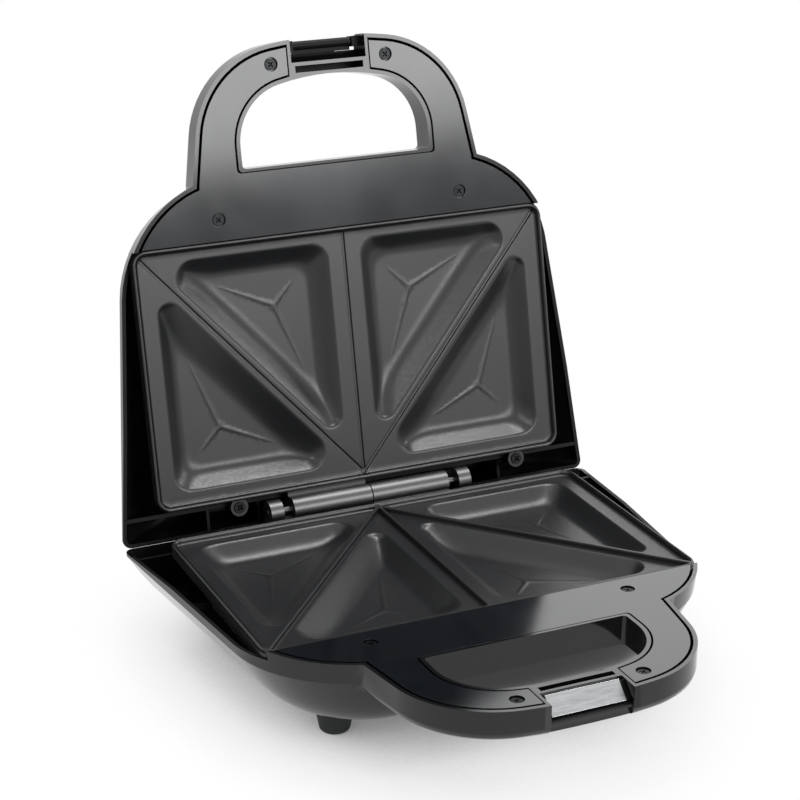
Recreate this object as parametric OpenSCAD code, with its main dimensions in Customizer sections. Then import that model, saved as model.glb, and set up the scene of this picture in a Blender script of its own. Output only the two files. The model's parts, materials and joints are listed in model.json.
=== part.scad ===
// Sandwich toaster with a hinged lid. Both halves come from one mould: the lid
// is the base turned over about the hinge-to-handle line and swung open.
//
// Half frame, used by every module below half_base() and half_lid():
//   X across, Y forward from the hinge axis, Z up from the mating plane,
//   so everything in a half lies below Z = 0. "Depth" is -Z.

/* [Overall] */
// Width of a cooking plate
plate_w = 228; // [190:1:275]
// Length of a cooking plate from hinge side to handle side
plate_l = 131.9; // [109:0.1:160]
// Depth of one half, from the mating plane to the outer skin
half_depth = 41.5; // [34.5:0.5:50]
// Height of a foot below the base
foot_h = 15; // [10:0.5:20]
// Thickness of the moulded walls
wall = 2; // [1.6:0.1:3]

/* [Body outline] */
// Radius of the two front corners of the body
corner_r = 61.5; // [50:0.5:70]
// Front corner centre, distance in from the plate's side
corner_in = 55.5; // [50:0.5:60]
// Body front, distance forward of the plate's front edge
body_front = 33.2; // [30:0.1:40]
// Angle by which the body's sides close towards the front
side_taper = 5.8; // [2:0.1:7]
// Reach of the body behind the hinge axis
rear_reach = 7.75; // [6:0.05:12]
// Depth of the rear rim below the mating plane
rim_drop = 9.7; // [8:0.1:12]
// Depth of the side rims below the mating plane
side_rim = 7.2; // [6:0.1:8]
// Gap from each half's face to the mating plane
face_gap = 0.42; // [0.2:0.01:1]
// How far the sides lean in, from rim to outer skin
side_lean = 20; // [10:1:24]
// How far the front leans in, from rim to outer skin
front_lean = 13.5; // [6:0.5:16]
// Width of the rounding where the walls turn into the outer skin
skin_round = 13; // [8:1:18]

/* [Handle] */
// Reach of the handle from the hinge axis to its front edge
handle_reach = 239.1; // [230:0.1:250]
// Half the distance between the handle's corner centres
handle_cx = 25.5; // [20:0.5:35]
// Radius of the handle's outer corners
handle_r = 50; // [40:0.5:55]
// Radius of the handle's front edge
handle_front_r = 226; // [180:1:400]
// Half the width of the handle where it meets the body
shoulder_x = 79; // [74:0.5:84]
// Depth of the handle
handle_depth = 15.3; // [13:0.1:18]
// Rounding of the handle's outer edge
handle_round = 4; // [2:0.1:6]
// Half the width of the finger hole
hole_x = 51.9; // [45:0.1:54]
// Radius of the finger hole's front corners
hole_r = 30; // [20:0.5:35]
// Radius of the finger hole's front edge
hole_front_r = 125; // [100:1:300]
// Thickness of the handle bar in front of the finger hole
bar_t = 19.3; // [16:0.1:24]

/* [Handle trim] */
// Thickness of the flat handle trim
trim_t = 2.5; // [2:0.1:3.5]
// Gap between the trim and the rim around it
trim_gap = 1.4; // [0.6:0.1:2]
// Half the spacing of the two trim screws near the plate
trim_screw_x = 67.1; // [60:0.1:72]
// Distance of those screws in front of the plate
trim_screw_y = 11.4; // [8:0.1:16]
// Half the spacing of the two trim screws in the handle bar
bar_screw_x = 31.5; // [26:0.1:38]
// Distance of those screws back from the handle's front edge
bar_screw_y = 12.3; // [9:0.1:14]

/* [Latch] */
// Half the width of the latch notch
notch_x = 20.5; // [18:0.1:24]
// Distance from the handle's front edge back to the notch rib
notch_y = 12.5; // [10:0.1:14]
// Thickness of the rib behind the notch
notch_rib = 1.8; // [1.2:0.1:2.5]
// Half the width of the latch lever
lever_x = 16; // [12:0.1:18]
// Radius of the lever's pivot barrel
lever_barrel_r = 2.3; // [2:0.1:3]
// Depth of the pivot axis below the lid's face
pivot_depth = 10.2; // [9:0.1:12]
// Distance of the pivot axis back from the handle's front edge
pivot_y = 4.3; // [3.5:0.1:6]
// Thickness of the lever plate
lever_t = 1.8; // [1.4:0.1:2.4]
// Depth of the catch lip's top below the base's face
lip_depth = 9.5; // [8:0.1:11]
// Thickness of the catch lip
lip_t = 1.2; // [1:0.1:2]
// How far the catch lip overhangs the wall under it
lip_over = 1.8; // [1.2:0.1:2.4]

/* [Cooking plate] */
// Depth of the plate's raised border below the mating plane
plate_drop = 0.7; // [0.5:0.1:1.5]
// Gap between the hinge axis and the plate's rear edge
plate_back = 9.25; // [8.5:0.05:12]
// Radius of the plate's corners
plate_r = 7; // [4:0.5:12]
// Thickness of the cast plate
plate_t = 2.4; // [2:0.1:3.5]
// Height of the plate's outer skirt
skirt_h = 6.8; // [5:0.1:9]
// Width of the raised border around the plate, at its foot
bead_w = 2.8; // [2:0.1:3.5]
// Width of the border's crest
bead_crest = 1; // [0.6:0.1:1.5]
// Height of the border above the plate's field
bead_h = 2.7; // [2:0.1:3]
// Width of the base plate's raised dividers
divider_w = 1.6; // [1.2:0.1:2.4]
// Depth of the grooves in the lid's plate that face the dividers
groove_d = 1; // [0.6:0.1:1.2]
// Width of the flat land between a divider and a pocket
land = 2.7; // [2:0.1:4]
// Depth of a sandwich pocket
pocket_h = 8; // [5:0.5:10]
// Further depth of the pocket's low point
pocket_apex = 1.6; // [0.5:0.1:2]
// Rounding of a pocket's right-angled corner
pocket_r = 8; // [4:0.5:9]

/* [Heating] */
// Diameter of the tubular heating element
heater_d = 6.5; // [5:0.1:8]
// Radius of the heating element's bends
heater_bend = 20; // [12:1:26]
// Thickness of the reflector sheet
reflector_t = 0.6; // [0.4:0.1:1]
// Air gap between the heating element and the reflector
reflector_gap = 3; // [2:0.1:5]

/* [Hinge] */
// Outer radius of the hinge barrels
barrel_r = 6.4; // [5:0.1:7]
// Radius of the hinge pins
hinge_pin_r = 2; // [1.5:0.1:3]
// Length of each long barrel
barrel_l = 43.7; // [30:0.1:55]
// Length of the gap that holds the stop tabs
tab_l = 6; // [4:0.5:9]
// Length of each short knuckle
knuckle_l = 7; // [5:0.5:10]

/* [Fits] */
// Radial clearance of a pin in its bore
pin_clear = 0.05; // [0.03:0.01:0.1]
// Gap between pieces that pass or face each other
gap = 0.3; // [0.2:0.05:0.5]

/* [Hidden] */

// Lid stands open where the two rear rims meet, less a hair of clearance.
stop_clear = 0.45;
open_angle = 2 * atan2(rim_drop, rear_reach) - stop_clear;
// The hinge axis in the part's frame: on the floor side by the feet, and set back so
// that the open toaster is centred on the origin from front to rear.
hinge_z = half_depth + foot_h;

// Body outline
plate_x = plate_w / 2;
plate_front = plate_back + plate_l;
front_y = plate_front + body_front;
corner_cx = plate_x - corner_in;
corner_cy = front_y - corner_r;
rear_corner_r = 4.5;
side_start = rim_drop + 1.5;      // depth where the sides begin to lean in
front_start = 2;                  // the same for the front
rear_start = half_depth - 14;     // and for the rear wall
rear_round = 7;
skin_power = 5.5;                 // how late the skin turns in: 2 is an ellipse
side_ramp = 24;                   // run of the side rim's rise in front of its flat part
side_rise = 2;                    // and how far it rises
rear_run = 50;                    // run of its fall behind that, down to the rear rim
skin_steps = 9;
cavity_steps = 6;
arc_steps = 14;
far = plate_w;                    // beyond every side of the body

// Trim
trim_back = plate_front + 0.7;
trim_top = -face_gap;
trim_floor = trim_top - trim_t;
trim_in = wall + trim_gap;
hole_rear = front_y + 1.95;
hole_rear_wall = 1.5;
hole_rear_gap = 0.5;
screw_r = 1.5;
head_r = 3;
recess_r = 3.5;
recess_h = 0.7;
boss_r = 3.8;
pilot_r = 1.3;
screw_l = 9;
trim_screws = [for (s = [-1, 1]) each [[s * trim_screw_x, plate_front + trim_screw_y],
    [s * bar_screw_x, handle_reach - bar_screw_y]]];

// Handle
handle_cy = handle_reach - handle_front_r;
bar_back = handle_reach - bar_t;
handle_corner_y = handle_cy + sqrt(pow(handle_front_r - handle_r, 2) - pow(handle_cx, 2));
hole_cx = hole_x - hole_r;
hole_cy = bar_back - hole_front_r + sqrt(pow(hole_front_r - hole_r, 2) - pow(hole_cx, 2));

// Latch
rib_y = handle_reach - notch_y;
slot_y = rib_y - notch_rib;
slot_t = 3.4;
slot_in = 1.8;
notch_wall = 1.6;
pivot = [handle_reach - pivot_y, -pivot_depth];
lip_front = handle_reach - 2.1;
lip_face = lip_front - lip_over;
ramp_top = [rib_y + 1.1, -1.0];
ramp_foot = [lip_face + 0.1, -8.1];
striker_t = 0.8;
lever_off = lip_front + gap - pivot[0];
nose_reach = pivot_depth + lip_depth + lip_t + gap;
nose_t = 2.4;
lever_face = pivot[0] - lever_off;
lever_tip = pivot[1] - nose_reach - nose_t;
// half the run from the handle's front to the lever's tip behind the open lid
hinge_y = (handle_reach + lever_face * cos(open_angle) + lever_tip * sin(open_angle)) / 2;
latch_pin_r = 1;
latch_pin_clear = 0.06;

// Plate
field_top = -plate_drop - bead_h;
pocket_floor = field_top - pocket_h - pocket_apex - plate_t;
ear_r = 4.7;
ear_t = 3;
ear_top = field_top - 0.5;
ear_y = plate_back - 4.4;
lug_y = plate_front + 3.6;
lug_x = plate_x - 26;
ear_in = [24.5, 43.6];            // the lid's ears, in from the plate's sides
base_ear_in = 33.5;               // the base's ears
lug_slot = 5.5;
lug_top = trim_floor - 2.5;
// Run of the right half's divider, from the middle of the rear border to the front corner.
divider = [plate_x - bead_w, plate_l - 2 * bead_w];
divider_top = field_top + bead_h - 0.15;
divider_slope = divider[1] / divider[0];
pocket_off = (divider_w / 2 + land) * norm(divider) / divider[0];    // along Y
function divider_y(x) = bead_w + divider_slope * x;
function divider_x(y) = (y - bead_w) / divider_slope;
// Sides of the right half's two pockets: one against the front, one against the side.
pocket_mid = 9.3;
pocket_front = plate_l - 7.2;
pocket_side = plate_x - 10.8;
pocket_rear = 8.5;
pocket_a = [[pocket_mid, pocket_front], [divider_x(pocket_front - pocket_off), pocket_front],
    [pocket_mid, divider_y(pocket_mid) + pocket_off]];
pocket_b = [[pocket_side, pocket_rear], [divider_x(pocket_rear + pocket_off), pocket_rear],
    [pocket_side, divider_y(pocket_side) - pocket_off]];
pocket_radii = [pocket_r, pocket_r + 1.3, pocket_r - 1.8];
pocket_taper = 0.75;

// Heating
heater_r = heater_d / 2;
heater_z = pocket_floor - heater_r;
heater_x = plate_x - 30;
heater_y0 = plate_back + 30;
heater_y1 = plate_front - 30;
reflector_z = heater_z - heater_r - reflector_gap - reflector_t;
reflector_top = pocket_floor + pocket_apex - 1;      // under the wells of the plate
reflector_in = 11;
reflector_r = 24;

// Hinge
seam = 0.3;
tab_x0 = seam + barrel_l;
knuckle_x0 = tab_x0 + tab_l;
knuckle_x1 = knuckle_x0 + knuckle_l;
web_y = 4.5;
web_bottom = -half_depth + 5;
bulkhead_y = plate_back - 2.2;
rib_t = 1.6;
pin_reach = 24;

// Thermostat, cord entry, feet and lamps
thermostat_y = plate_back + plate_l * 0.5;
thermostat_r = 9.5;
gland_x = 44 - plate_x;
terminal_x = gland_x - 1;
terminal_t = 7;
gland_z = -half_depth + 16;
gland_r = 5.5;
gland_bore = 3.6;
foot_top_r = 9.8;
foot_tip_r = 7.6;
foot_edge_r = 2.5;
foot_pad = 1;
foot_places = [for (s = [-1, 1]) each [[s * (plate_x - 40), front_y - 48], [s * (plate_x - 32), 16]]];
lens_x = 11;
lens_r = 4.5;
lamp_r = 2.8;
lens_y = plate_front - reflector_in + lamp_r + 2;    // in front of the reflector
lens_dome_r = (lens_r * lens_r + 1.2 * 1.2) / 2.4;

// ---------------------------------------------------------------- helpers

function unit(v) = v / norm(v);
function turn(c, r, a) = [c[0] + r * cos(a), c[1] + r * sin(a)];
function arc(c, r, a0, a1, n = arc_steps) = [for (i = [0:n]) turn(c, r, a0 + (a1 - a0) * i / n)];
function ear_places(is_lid) =
    is_lid ? [ear_in[0] - plate_x, plate_x - ear_in[1]] : [base_ear_in - plate_x, plate_x - base_ear_in];
function mirrored(points) = [for (i = [len(points) - 1:-1:0]) [-points[i][0], points[i][1]]];

// A polygon with each corner rounded, all to one radius or each to its own.
function rounded(points, radii, n = 6) = let (m = len(points)) [
    for (i = [0:m - 1])
        let (r = is_list(radii) ? radii[i] : radii, p = points[i],
             a = unit(points[(i + m - 1) % m] - p), b = unit(points[(i + 1) % m] - p),
             half = acos(a * b) / 2, c = p + unit(a + b) * r / sin(half),
             s = p + a * r / tan(half) - c, e = p + b * r / tan(half) - c,
             a0 = atan2(s[1], s[0]), d = atan2(e[1], e[0]) - a0,
             sweep = d > 180 ? d - 360 : d < -180 ? d + 360 : d)
        for (k = [0:n]) turn(c, r, a0 + sweep * k / n)];

// Centre of the circle that touches the three sides of a triangle.
function incentre(p) =
    let (a = norm(p[1] - p[2]), b = norm(p[2] - p[0]), c = norm(p[0] - p[1]))
    (a * p[0] + b * p[1] + c * p[2]) / (a + b + c);

function inradius(p) =
    let (u = p[1] - p[0], v = p[2] - p[0])
    abs(u[0] * v[1] - u[1] * v[0]) / (norm(u) + norm(v) + norm(v - u));

// Inward lean at a depth: a straight slope that ends in a tight rounding.
function lean(depth, start, slope, round_w) =
    let (u = max(0, min(1, (depth - start) / (half_depth - start))))
    slope * u + round_w * (1 - sqrt(1 - pow(u, skin_power)));

// Half of the body outline, from the rear to the front, at a depth and an inset.
function body_half(depth, inset) =
    let (s = lean(depth, side_start, side_lean, skin_round) + inset,
         f = lean(depth, front_start, front_lean, skin_round) + inset,
         b = lean(depth, rear_start, 0, rear_round) + inset,
         r = corner_r - (s + f) / 2,
         c = [corner_cx + corner_r - s - r, corner_cy + corner_r - f - r],
         q = max(rear_corner_r - inset, 1),
         t = turn(c, r, side_taper),
         edge_x = t[0] + (t[1] + rear_reach - b - q) * tan(side_taper),
         rc = [edge_x - q, -rear_reach + b + q])
    concat(arc(rc, q, -90, 0, 5), arc(c, r, side_taper, 90));

// Half of the handle outline, from the shoulder to the front, at an inset.
function handle_half(inset) =
    let (c = [handle_cx, handle_corner_y], fc = [0, handle_cy],
         a0 = atan2(handle_corner_y - handle_cy, handle_cx), r = handle_r - inset,
        p = [shoulder_x - inset, front_y - 4], d = p - c,
        start = atan2(d[1], d[0]) + acos(r / norm(d)))
    concat([[p[0], front_y - 30], p], arc(c, r, start, a0), arc(fc, handle_front_r - inset, a0, 90, 4));

// Half of the finger hole outline, grown by one amount at the sides and front, another at the rear.
function hole_half(grow, rear) =
    let (c = [hole_cx, hole_cy], fc = [0, bar_back - hole_front_r], a0 = atan2(hole_cy - fc[1], hole_cx))
    concat(arc([hole_x + grow - 2, hole_rear - rear + 2], 2, -90, 0, 4), arc(c, hole_r + grow, 0, a0),
        arc(fc, hole_front_r + grow, a0, 90, 4));

module outline(half) {
    polygon(concat(half, mirrored(half)));
}

// A solid through rings of points that run from the top down, each [height, half outline].
module loft(rings) {
    loops = [for (r = rings) [for (p = concat(r[1], mirrored(r[1]))) [p[0], p[1], r[0]]]];
    n = len(loops[0]);
    last = (len(loops) - 1) * n;
    polyhedron([for (l = loops) each l], concat([[for (i = [n - 1:-1:0]) i]],
        [for (k = [0:n:last - 1], i = [0:n - 1]) let (j = (i + 1) % n)
            each [[k + i, k + j, k + n + j], [k + i, k + n + j, k + n + i]]],
        [[for (i = [0:n - 1]) last + i]]));
}

// A cylinder from depth to depth at a point of the half frame.
module post(x, y, r, z0, z1) {
    translate([x, y, z0]) cylinder(h = z1 - z0, r = r, $fn = 48);
}

module across(x0, x1) {
    translate([x0, 0, 0]) rotate([90, 0, 90]) linear_extrude(x1 - x0) children();
}

module rod_x(x0, x1, y, z, r) {
    translate([x0, y, z]) rotate([0, 90, 0]) cylinder(h = x1 - x0, r = r, $fn = 64);
}

module block(x0, x1, y0, y1, z0, z1) {
    translate([x0, y0, z0]) cube([x1 - x0, y1 - y0, z1 - z0]);
}

// Half frame to part frame, for the base and for the open lid.
module half_base() {
    translate([0, hinge_y, hinge_z]) mirror([0, 1, 0]) children();
}

module half_lid() {
    translate([0, hinge_y, hinge_z]) rotate([-open_angle, 0, 0]) rotate([0, 180, 0])
        mirror([0, 1, 0]) children();
}

// ---------------------------------------------------------------- shells

// The body from its rim down to the outer skin, at an inset. A top above the rim stays upright.
module body_skin(inset, top, steps) {
    loft(concat(top > trim_top ? [[top, body_half(0, inset)]] : [], [[trim_top, body_half(0, inset)]],
        [for (i = [0:steps])
            let (u = sin(90 * i / steps), depth = side_start + (half_depth - side_start) * u)
            [-depth + inset * u, body_half(depth, inset)]]));
}

module handle_skin(inset, top) {
    flat = handle_depth - handle_round;
    loft(concat([[top, handle_half(inset)]], [for (a = [0:30:90])
        [-flat - (handle_round - inset / 2) * sin(a) + inset / 2,
            handle_half(inset + handle_round * (1 - cos(a)))]]));
}

module hole_prism(grow, rear) {
    translate([0, 0, -handle_depth - 20]) linear_extrude(handle_depth + 40) outline(hole_half(grow, rear));
}

// Everything that stands up from the skin inside a half, as columns cut off by the skin.
module standing_parts(is_lid) {
    ears = ear_places(is_lid);
    for (p = trim_screws) post(p[0], p[1], boss_r, -half_depth, trim_floor);
    for (x = ears) post(x, ear_y, boss_r, -half_depth, ear_top - ear_t);
    for (s = [-1, 1]) post(s * lug_x, lug_y, boss_r, -half_depth, lug_top - ear_t);
    block(-far, far, bulkhead_y - wall, bulkhead_y, -half_depth, -rim_drop);
    inner = lug_x - lug_slot;
    outer = lug_x + lug_slot;
    for (span = [[-plate_x, -outer], [-inner, inner], [outer, plate_x]])
        block(span[0], span[1], plate_front + 2 * gap, plate_front + 2 * gap + wall, -half_depth, trim_floor);
    for (s = [-1, 1], x = s * [28, 56, plate_x - 30])
        block(x - rib_t / 2, x + rib_t / 2, -rear_reach, bulkhead_y, -half_depth, -rim_drop - 6);
    block(-notch_x - notch_wall, notch_x + notch_wall, bar_back - 5, handle_reach, -handle_depth, trim_top);
}

module shell_cavity(is_lid) {
    difference() {
        union() {
            body_skin(wall, 5, cavity_steps);
            difference() {
                handle_skin(wall, 5);
                hole_prism(wall, hole_rear_wall);
            }
        }
        standing_parts(is_lid);
    }
}

// Lowers the side and rear rims; the front of the sides ramps up to the trim.
module rim_cut() {
    across(-far, far) polygon([[-40, 5], [-40, -rim_drop], [0, -rim_drop], [rear_run, -side_rim],
        [plate_front - side_ramp, -side_rim], [plate_front, -side_rim + side_rise], [plate_front, 5]]);
}

module notch_cut(is_lid) {
    deep = is_lid ? handle_depth + 5 : handle_depth - wall;
    front = is_lid ? handle_reach + 5 : lip_face - wall;
    // slot between the rib and the finger hole
    block(-notch_x + slot_in, notch_x - slot_in, slot_y - slot_t, slot_y, -handle_depth + wall, 5);
    // compartment in front of the rib
    block(-notch_x, notch_x, rib_y, is_lid ? lever_face - gap / 2 - lever_t : front,
        -handle_depth + wall, 5);
    if (is_lid) {
        block(-notch_x, notch_x, lever_face - lever_t - gap / 2, handle_reach + 5, -deep, 5);
    } else {
        block(-notch_x, notch_x, rib_y, handle_reach + 5, -lip_depth, 5);
        block(-notch_x, notch_x, lip_front, handle_reach + 5, -handle_depth - 5, 5);
        block(-notch_x, notch_x, lip_face, handle_reach + 5, -handle_depth - 5, -lip_depth - lip_t);
    }
}

module notch_fittings(is_lid) {
    if (is_lid) {
        for (s = [-1, 1]) difference() {
            block(s > 0 ? lever_x + gap : -notch_x - 0.2, s > 0 ? notch_x + 0.2 : -lever_x - gap,
                pivot[0] - 2.8, pivot[0] + 2.6, pivot[1] - 3.2, pivot[1] + 3.2);
            rod_x(-notch_x - 5, notch_x + 5, pivot[0], pivot[1], latch_pin_r + latch_pin_clear);
        }
    } else {
        // wedge under the striker, with a cheek at each end
        across(-notch_x - 0.2, notch_x + 0.2) polygon([[rib_y - 0.2, -handle_depth + wall - 0.2],
            [rib_y - 0.2, ramp_top[1] - striker_t * 1.5], [ramp_top[0], ramp_top[1] - striker_t * 1.5],
            [ramp_foot[0] - striker_t, ramp_foot[1] - striker_t * 0.5], [lip_face - wall, -lip_depth],
            [lip_face - wall, -handle_depth + wall - 0.2]]);
    }
}

// A long barrel on +X and a short knuckle on -X, each on a web from the rear wall.
module hinge_knuckles() {
    difference() {
        union() {
            rod_x(seam, tab_x0, 0, 0, barrel_r);
            rod_x(-knuckle_x1, -knuckle_x0, 0, 0, barrel_r);
            for (x = [[seam, tab_x0], [-knuckle_x1, -knuckle_x0]]) {
                block(x[0], x[1], -web_y, web_y, -rim_drop - 2.3, 0);
                block(x[0], x[1], -rear_reach + wall / 2, bulkhead_y - wall / 2, web_bottom, -rim_drop - 1.5);
            }
            // leaf that runs forward under the plate's rear edge
            block(seam, tab_x0, 0, plate_back - gap, -5.4, -2.4);
            // stop tab carried by the short knuckle
            intersection() {
                rod_x(-knuckle_x0 - 0.5, -tab_x0 - gap, 0, 0, barrel_r - 0.6);
                block(-knuckle_x1, -tab_x0, -barrel_r, barrel_r, -barrel_r, -barrel_r * 0.4);
            }
        }
        rod_x(tab_x0 - pin_reach, tab_x0 + 1, 0, 0, hinge_pin_r + pin_clear);
        rod_x(-knuckle_x1 - 1, -tab_x0 + 1, 0, 0, hinge_pin_r + pin_clear);
    }
}

module shell(is_lid) {
    ears = ear_places(is_lid);
    difference() {
        union() {
            difference() {
                union() {
                    body_skin(0, trim_top, skin_steps);
                    difference() {
                        handle_skin(0, trim_top);
                        hole_prism(0, 0);
                    }
                }
                shell_cavity(is_lid);
                rim_cut();
                notch_cut(is_lid);
                plate_layer(-gap, -plate_drop - skirt_h - gap, 5);
            }
            notch_fittings(is_lid);
        }
        for (p = trim_screws) post(p[0], p[1], pilot_r, trim_floor - screw_l, trim_floor + 1);
        for (x = ears) post(x, ear_y, pilot_r, ear_top - ear_t - screw_l, ear_top);
        for (s = [-1, 1]) post(s * lug_x, lug_y, pilot_r, lug_top - ear_t - screw_l, lug_top);
        if (is_lid) {
            for (s = [-1, 1]) post(s * lens_x, lens_y, lens_r + pin_clear, -half_depth - 1, -half_depth + 5);
        } else {
            rod_y(gland_x, -rear_reach - 5, -rear_reach + 6, gland_z, gland_r + pin_clear);
        }
    }
    hinge_knuckles();
    if (!is_lid) difference() {
        for (p = foot_places) post(p[0], p[1], foot_top_r + 1.2, -half_depth - foot_pad, -half_depth + 4);
        body_skin(wall, 5, cavity_steps);
    }
}

// ---------------------------------------------------------------- covers and screws

module trim() {
    slot_clear = notch_x + notch_wall + 0.6;
    difference() {
        translate([0, 0, trim_floor]) linear_extrude(trim_t) difference() {
            union() {
                intersection() {
                    outline(body_half(0, trim_in));
                    translate([-far, trim_back]) square([2 * far, far]);
                }
                outline(handle_half(trim_in));
            }
            translate([-slot_clear, bar_back - 10]) square([2 * slot_clear, 60]);
            outline(hole_half(trim_in - 0.4, hole_rear_wall + hole_rear_gap));
        }
        for (p = trim_screws) {
            post(p[0], p[1], screw_r + 0.15, trim_floor - 1, trim_top + 1);
            post(p[0], p[1], recess_r, trim_top - recess_h - 0.9, trim_top + 1);
        }
    }
}

// A pan-head screw whose head sits on top of z, with a cross recess.
module screw(x, y, z, length) {
    translate([x, y, z]) difference() {
        union() {
            cylinder(h = 0.9, r = head_r, $fn = 48);
            translate([0, 0, -length]) cylinder(h = length, r = pilot_r, $fn = 32);
        }
        for (a = [45, 135]) rotate([0, 0, a]) block(-1.7, 1.7, -0.35, 0.35, 0.3, 2);
    }
}

module plate_screws(is_lid) {
    for (x = ear_places(is_lid)) screw(x, ear_y, ear_top, screw_l);
    for (s = [-1, 1]) screw(s * lug_x, lug_y, lug_top, screw_l);
}

module trim_screw_set() {
    for (p = trim_screws) screw(p[0], p[1], trim_top - recess_h - 0.9, screw_l);
}

// ---------------------------------------------------------------- cooking plate

// A triangular pocket: a tapered well over a shallow three-sided point.
module pocket(corners, grow, drop) {
    centre = incentre(corners);
    outer = (1 + grow / inradius(corners)) * [for (p = corners) p - centre];
    radii = [for (r = pocket_radii) r + grow];
    translate([centre[0], centre[1] + plate_back, field_top - drop]) {
        mirror([0, 0, 1]) linear_extrude(height = pocket_h, scale = pocket_taper)
            polygon(rounded(outer, radii));
        translate([0, 0, 0.001 - pocket_h]) mirror([0, 0, 1])
            linear_extrude(height = pocket_apex, scale = 0.05)
                polygon(rounded(pocket_taper * outer, pocket_taper * radii));
        if (drop <= 0) linear_extrude(1) polygon(rounded(outer, radii));
    }
}

module both_sides() {
    children();
    mirror([1, 0, 0]) children();
}

// Half of the plate's outline, from the rear to the front, at an inset.
function plate_half(inset) =
    let (r = max(plate_r - inset, 1), x = plate_x - inset - r)
    concat(arc([x, plate_back + inset + r], r, -90, 0, 6), arc([x, plate_front - inset - r], r, 0, 90, 6));

module plate_layer(inset, z0, z1) {
    translate([0, 0, z0]) linear_extrude(z1 - z0) outline(plate_half(inset));
}

// Bars along both diagonals and down the middle, within an inset of the plate's outline.
module dividers(inset, z0, z1) {
    intersection() {
        union() {
            both_sides() translate([0, plate_back + bead_w, 0])
                rotate([0, 0, atan2(divider[1], divider[0])])
                    block(0, norm(divider) + 2, -divider_w / 2, divider_w / 2, z0, z1);
            block(-divider_w / 2, divider_w / 2, plate_back, plate_front, z0, z1);
        }
        plate_layer(inset, z0 - 1, z1 + 1);
    }
}

module plate(is_lid) {
    ears = ear_places(is_lid);
    bottom = -plate_drop - skirt_h;
    difference() {
        union() {
            difference() {
                plate_layer(0, bottom, -plate_drop);
                loft([[1, plate_half(bead_crest)], [-plate_drop - 0.2, plate_half(bead_crest)],
                    [field_top, plate_half(bead_w)]]);
                plate_layer(plate_t, bottom - 1, field_top - plate_t);
            }
            if (!is_lid) dividers((bead_crest + bead_w) / 2, field_top - plate_t / 2, divider_top);
            intersection() {
                both_sides() {
                    pocket(pocket_a, plate_t, plate_t);
                    pocket(pocket_b, plate_t, plate_t);
                }
                plate_layer(plate_t / 2, -40, field_top - 0.5);
            }
            for (x = ears) {
                post(x, ear_y, ear_r, ear_top - ear_t, ear_top);
                block(x - 3.5, x + 3.5, ear_y, plate_back + 1, ear_top - ear_t, ear_top - 0.5);
            }
            for (s = [-1, 1]) {
                post(s * lug_x, lug_y, ear_r, lug_top - ear_t, lug_top);
                block(s * lug_x - 3.5, s * lug_x + 3.5, plate_front - 1, lug_y,
                    lug_top - ear_t, lug_top - 0.5);
            }
            post(0, thermostat_y, 8, pocket_floor, field_top - 1);
        }
        both_sides() {
            pocket(pocket_a, 0, 0);
            pocket(pocket_b, 0, 0);
        }
        if (is_lid) dividers(bead_w + 0.3, field_top - groove_d, field_top + 1);
        for (x = ears) post(x, ear_y, screw_r + 0.15, -30, 0);
        for (s = [-1, 1]) post(s * lug_x, lug_y, screw_r + 0.15, -30, 0);
    }
}

// ---------------------------------------------------------------- heating

module bend(x, y, r, a0, sweep) {
    translate([x, y, heater_z]) rotate([0, 0, a0]) rotate_extrude(angle = sweep, $fn = 72)
        translate([r, 0]) circle(r = heater_r, $fn = 24);
}

module run_between(p, q) {
    d = q - p;
    translate([p[0], p[1], heater_z]) rotate([0, 0, atan2(d[1], d[0])]) rotate([0, 90, 0])
        cylinder(h = norm(d), r = heater_r, $fn = 24);
}

// Tubular element bent into a loop, with both cold ends at the hinge side.
module heater() {
    left = -heater_x;
    b = heater_bend;
    both_sides() {
        run_between([heater_x, heater_y0 + b], [heater_x, heater_y1 - b]);
        bend(heater_x - b, heater_y1 - b, b, 0, 90);
        bend(heater_x - b, heater_y0 + b, b, -90, 90);
        run_between([heater_x - b, heater_y0], [34, heater_y0]);
        bend(34, heater_y0 - 12, 12, 90, 90);
        run_between([22, heater_y0 - 12], [22, plate_back + 9]);
        translate([22, plate_back + 9, heater_z]) rotate([90, 0, 0]) cylinder(h = 6, r = 1.2, $fn = 24);
    }
    run_between([left + b, heater_y1], [heater_x - b, heater_y1]);
}

module pan(inset, z0, z1) {
    x = plate_x - reflector_in - inset;
    y0 = plate_back + reflector_in + inset;
    y1 = plate_front - reflector_in - inset;
    translate([0, 0, z0]) linear_extrude(z1 - z0)
        polygon(rounded([[-x, y0], [x, y0], [x, y1], [-x, y1]], reflector_r - inset));
}

// Sheet pan under the plate that throws the heat back up.
module reflector() {
    difference() {
        pan(0, reflector_z, reflector_top);
        pan(reflector_t, reflector_z + reflector_t, 0);
        for (s = [-1, 1]) block(s * 22 - 4, s * 22 + 4, 0, plate_back + 12, heater_z - 5, 0);
        post(0, thermostat_y, thermostat_r + 2, -half_depth, 0);
    }
    // folded feet that stand on the skin
    for (s = [-1, 1], y = [plate_back + 25, plate_front - 35])
        block(s * 60 - 8, s * 60 + 8, y, y + reflector_t, -half_depth + wall, reflector_z);
}

module thermostat() {
    top = pocket_floor;
    color("#c8c2b4") half_base() {
        translate([0, thermostat_y, 0]) {
            translate([0, 0, top - 2.5]) cylinder(h = 2.5, r = thermostat_r, $fn = 48);
            translate([0, 0, top - 9]) cylinder(h = 6.5, r = thermostat_r - 1.5, $fn = 48);
            for (s = [-1, 1]) block(s * 4.5 - 2.4, s * 4.5 + 2.4, -0.4, 0.4, top - 15, top - 9);
        }
    }
}

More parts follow.
